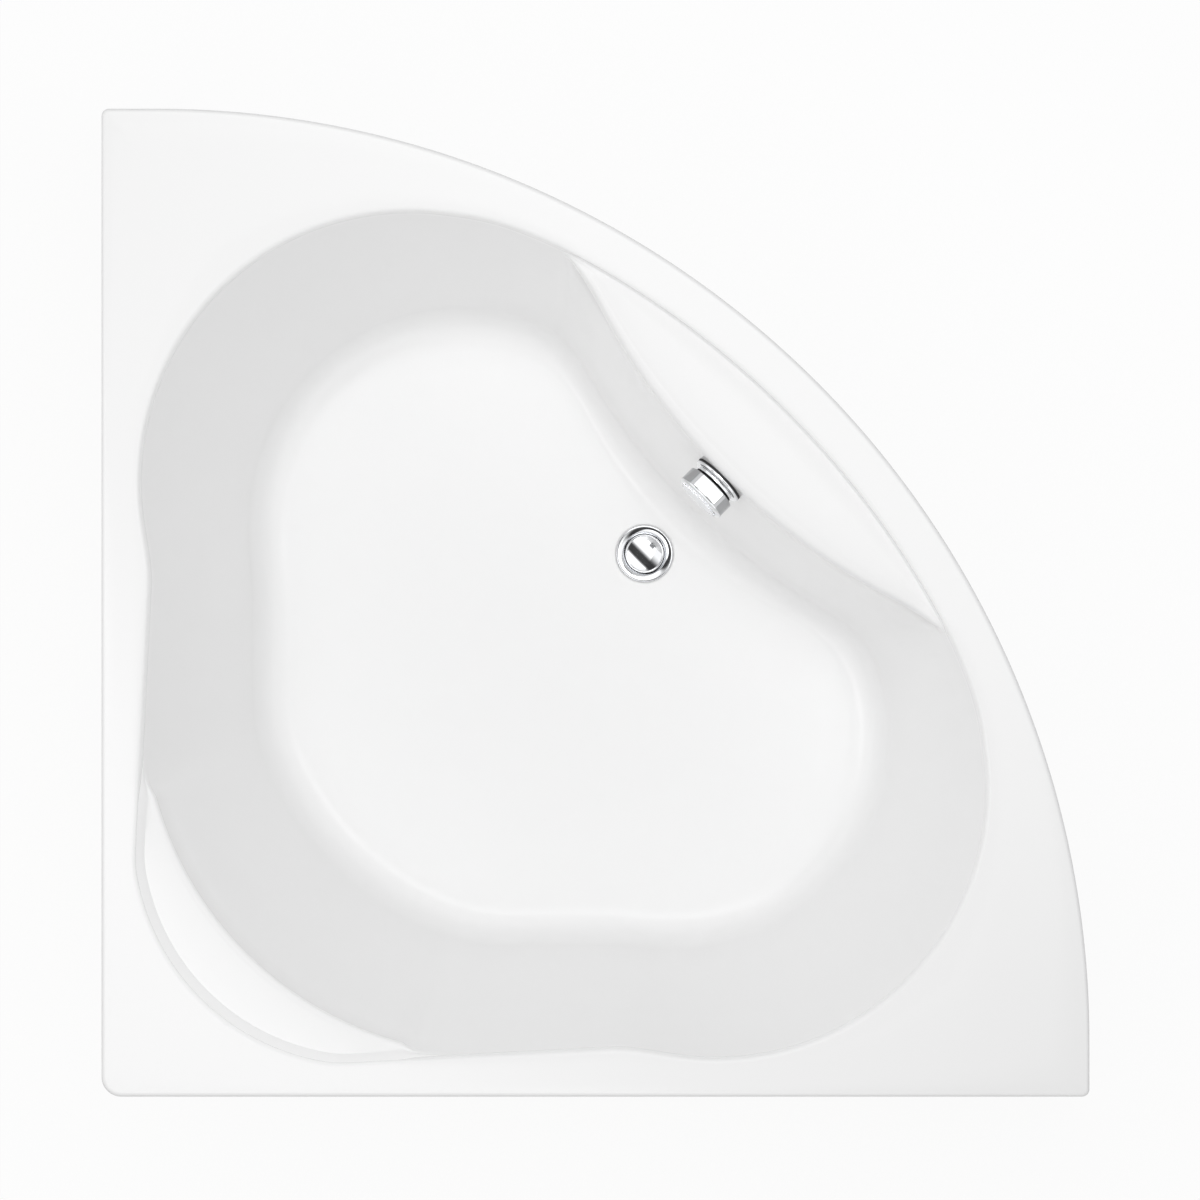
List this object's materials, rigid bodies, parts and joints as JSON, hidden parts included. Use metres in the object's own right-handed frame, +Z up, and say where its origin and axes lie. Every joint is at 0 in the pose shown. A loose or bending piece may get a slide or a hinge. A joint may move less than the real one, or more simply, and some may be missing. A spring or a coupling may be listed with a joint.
{
  "type": "corner bathtub",
  "caption": "Acrylic corner bathtub with a three-lobed basin, seat ledges, pop-up waste and turn-knob overflow, on a levelling cradle behind a curved front panel.",
  "frame": {"origin": "middle of the square round the rim, on the floor under the feet", "axes": "+Z up; +Y towards the back wall and -X towards the side wall, which meet in the room's corner at -X +Y; the curved front faces +X -Y"},
  "size_m": [1.2, 1.2, 0.54],
  "materials": {
    "acrylic_white": "polished white acrylic, glass-fibre backed",
    "board": "bare chipboard",
    "timber": "planed softwood",
    "galvanised": "galvanised sheet",
    "zinc": "zinc-plated",
    "foot_plastic": "moulded",
    "panel_white": "polished white acrylic sheet",
    "chrome": "polished",
    "rubber": "moulded",
    "waste_plastic": "moulded polypropylene",
    "hose_plastic": "smooth grey tube",
    "cable_plastic": "smooth sheath",
    "brass": "turned",
    "cap_white": "moulded"
  },
  "bodies": {
    "bath": {"bath_shell": "acrylic_white", "baseboard": "board", "rim_batten_back": "timber", "rim_batten_side": "timber", "rim_batten_front": "board", "cradle_rail_rear": "galvanised", "cradle_rail_front": "galvanised", "rail_screws": "zinc", "foot_lock_nuts": "zinc", "rim_leg_bracket": "galvanised", "rim_leg_screws": "zinc", "wall_brackets_back": "galvanised", "wall_brackets_side": "galvanised", "wall_bracket_screws": "zinc", "front_panel": "panel_white", "panel_blocks": "timber", "panel_screws": "zinc", "panel_screw_caps": "cap_white", "waste_flange": "chrome", "waste_flange_seal": "rubber", "waste_body_seal": "rubber", "waste_body": "waste_plastic", "overflow_rosette": "chrome", "overflow_gasket": "rubber", "overflow_screws": "zinc", "overflow_body": "waste_plastic", "overflow_hose": "hose_plastic", "hose_nut_top": "waste_plastic", "hose_nut_bottom": "waste_plastic", "control_cable": "cable_plastic", "cable_clips": "waste_plastic"},
    "knob": {"overflow_knob": "chrome", "knob_grub_screw": "zinc", "overflow_spindle": "brass", "cable_drum": "waste_plastic"},
    "plug": {"waste_plug": "chrome", "plug_seal": "rubber", "plug_stem": "brass"},
    "rocker": {"lift_rocker": "brass"},
    "foot_rear_left": {"foot_rear_left_stud": "zinc", "foot_rear_left_pad": "foot_plastic"},
    "foot_rear_right": {"foot_rear_right_stud": "zinc", "foot_rear_right_pad": "foot_plastic"},
    "foot_front_left": {"foot_front_left_stud": "zinc", "foot_front_left_pad": "foot_plastic"},
    "foot_front_right": {"foot_front_right_stud": "zinc", "foot_front_right_pad": "foot_plastic"},
    "rim_leg": {"rim_leg_stud": "zinc", "rim_leg_pad": "foot_plastic"}
  },
  "joints": [
    {"name": "knob_turn", "type": "hinge", "parent": "bath", "child": "knob", "pos_m": [0.14958, -0.14958, 0.466], "axis": [-0.6976, 0.6976, 0.1632], "range_deg": [0, 90]},
    {"name": "plug_lift", "type": "slide", "parent": "bath", "child": "plug", "axis": [0, 0, 1], "range_m": [0, 0.01]},
    {"name": "rocker_turn", "type": "hinge", "parent": "bath", "child": "rocker", "pos_m": [0.04634, -0.04634, 0.0975], "axis": [-0.7071, -0.7071, 0], "range_deg": [0, 30]},
    {"name": "foot_rear_left_level", "type": "slide", "parent": "bath", "child": "foot_rear_left", "axis": [0, 0, 1], "range_m": [-0.015, 0.015]},
    {"name": "foot_rear_right_level", "type": "slide", "parent": "bath", "child": "foot_rear_right", "axis": [0, 0, 1], "range_m": [-0.015, 0.015]},
    {"name": "foot_front_left_level", "type": "slide", "parent": "bath", "child": "foot_front_left", "axis": [0, 0, 1], "range_m": [-0.015, 0.015]},
    {"name": "foot_front_right_level", "type": "slide", "parent": "bath", "child": "foot_front_right", "axis": [0, 0, 1], "range_m": [-0.015, 0.015]},
    {"name": "rim_leg_level", "type": "slide", "parent": "bath", "child": "rim_leg", "axis": [0, 0, 1], "range_m": [-0.015, 0.015]}
  ],
  "couplings": [
    {"joint": "plug_lift", "follows": "knob_turn", "m_per_rad": 0.0063662},
    {"joint": "rocker_turn", "follows": "knob_turn", "ratio": 0.33333}
  ]
}
